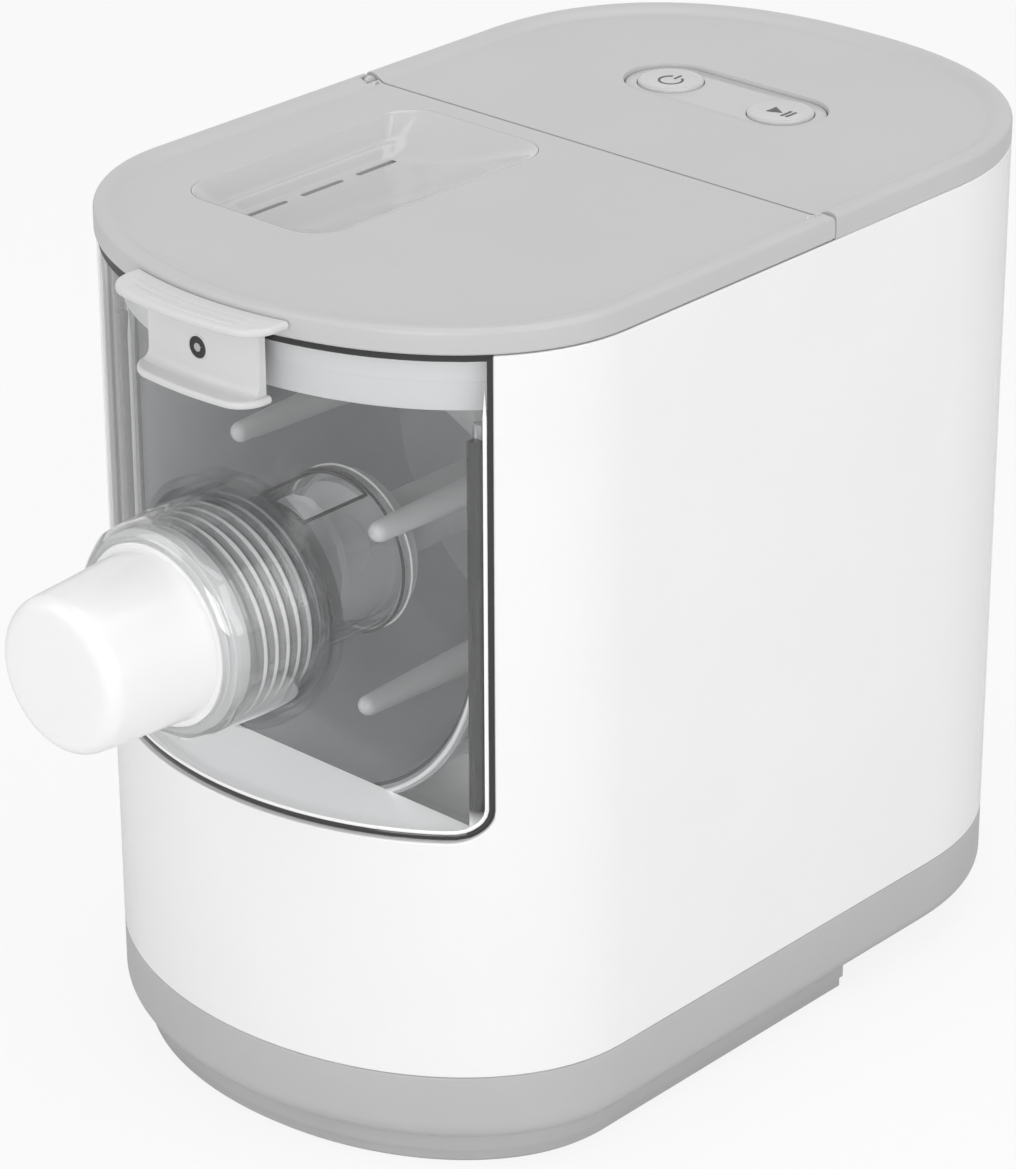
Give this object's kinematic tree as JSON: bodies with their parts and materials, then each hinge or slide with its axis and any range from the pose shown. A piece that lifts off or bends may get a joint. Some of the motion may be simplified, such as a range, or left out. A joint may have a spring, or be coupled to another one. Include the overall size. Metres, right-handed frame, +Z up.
{
  "type": "electric pasta maker",
  "caption": "Countertop pasta maker with hinged lid, clear front window and bowl, extruder with screw-on nut and pull-off cap, and two push buttons.",
  "frame": {"origin": "on the table, under the middle of the straight sides", "axes": "+X to the right seen from the front, +Y to the back, +Z up"},
  "size_m": [0.17, 0.326, 0.2444],
  "materials": {
    "white_shell": "smooth satin gloss",
    "base_grey": "fine satin",
    "foot_rubber": "matte",
    "inner_white": "satin",
    "clear_pane": "polished, clear",
    "clear_bowl": "polished, clear",
    "soft_buffer": "matte",
    "silicone": "matte",
    "top_grey": "fine satin",
    "steel": "turned",
    "handle_grey": "satin gloss",
    "pad_grey": "satin gloss",
    "button_grey": "satin gloss",
    "circuit_board": "printed circuit board",
    "black_plastic": "matte",
    "clear_barrel": "polished, clear",
    "white_food_plastic": "satin",
    "white_cap": "satin gloss",
    "plate_aluminium": "rolled sheet",
    "case_plastic": "matte",
    "bush_brass": "turned",
    "gear_plastic": "moulded",
    "motor_steel": "drawn"
  },
  "bodies": {
    "housing": {"body_shell": "white_shell", "base_pan": "base_grey", "plinth": "base_grey", "plinth_screws": "steel", "rear_feet": "foot_rubber", "front_feet": "foot_rubber", "chassis": "inner_white", "front_frame": "inner_white", "window": "clear_pane", "mixing_bowl": "clear_bowl", "bowl_feet": "soft_buffer", "shaft_seal": "silicone", "hinge_pins": "steel", "rear_panel": "top_grey", "panel_screws": "steel", "control_pad": "pad_grey", "control_board": "circuit_board", "tact_switches": "black_plastic", "lid_switch": "black_plastic", "barrel": "clear_barrel", "gear_plate": "plate_aluminium", "gear_case": "case_plastic", "case_screws": "steel", "front_bush": "bush_brass", "rear_bush": "bush_brass", "idler_pin": "steel", "motor_can": "motor_steel", "motor_cap": "black_plastic", "motor_screws": "steel", "power_board": "circuit_board", "board_screws": "steel", "power_inlet": "black_plastic", "inlet_pins": "bush_brass"},
    "lid": {"lid": "top_grey", "lid_skirt": "top_grey", "lid_seal": "silicone", "lid_handle": "handle_grey", "handle_screw": "steel"},
    "die": {"die": "white_food_plastic"},
    "nut": {"nut": "clear_barrel"},
    "cap": {"cap": "white_cap"},
    "power_button": {"power_button": "button_grey"},
    "start_button": {"start_button": "button_grey"},
    "rotor": {"motor_shaft": "steel", "motor_pinion": "bush_brass", "motor_fan": "black_plastic"},
    "idler": {"idler_gear": "gear_plastic"},
    "drive": {"drive_shaft": "steel", "output_gear": "gear_plastic", "paddle": "white_food_plastic", "auger": "white_food_plastic"}
  },
  "joints": [
    {"name": "lid_hinge", "type": "hinge", "parent": "housing", "child": "lid", "pos_m": [0, 0.0134, 0.242], "axis": [-1, 0, 0], "range_deg": [0, 97]},
    {"name": "die_slide", "type": "slide", "parent": "housing", "child": "die", "axis": [0, -1, 0], "range_m": [0, 0.006]},
    {"name": "nut_turn", "type": "hinge", "parent": "die", "child": "nut", "pos_m": [0, -0.135, 0.156], "axis": [0, -1, 0], "range_deg": [0, 540]},
    {"name": "cap_pull", "type": "slide", "parent": "nut", "child": "cap", "axis": [0, -1, 0], "range_m": [0, 0.04]},
    {"name": "power_button_press", "type": "slide", "parent": "housing", "child": "power_button", "axis": [0, 0, -1], "range_m": [0, 0.0008], "stiffness_N_per_m": 1500, "springref_m": -0.0008},
    {"name": "start_button_press", "type": "slide", "parent": "housing", "child": "start_button", "axis": [0, 0, -1], "range_m": [0, 0.0008], "stiffness_N_per_m": 1500, "springref_m": -0.0008},
    {"name": "rotor_turn", "type": "hinge", "parent": "housing", "child": "rotor", "pos_m": [0, 0.06, 0.08514], "axis": [0, 1, 0], "continuous": true},
    {"name": "idler_turn", "type": "hinge", "parent": "housing", "child": "idler", "pos_m": [-0.03232, 0.03, 0.11463], "axis": [0, 1, 0], "continuous": true},
    {"name": "drive_turn", "type": "hinge", "parent": "housing", "child": "drive", "pos_m": [0, 0, 0.156], "axis": [0, 1, 0], "continuous": true}
  ],
  "couplings": [
    {"joint": "nut_turn", "follows": "die_slide", "rad_per_m": 1570.8},
    {"joint": "idler_turn", "follows": "rotor_turn", "ratio": -0.25},
    {"joint": "drive_turn", "follows": "rotor_turn", "ratio": 0.05}
  ]
}
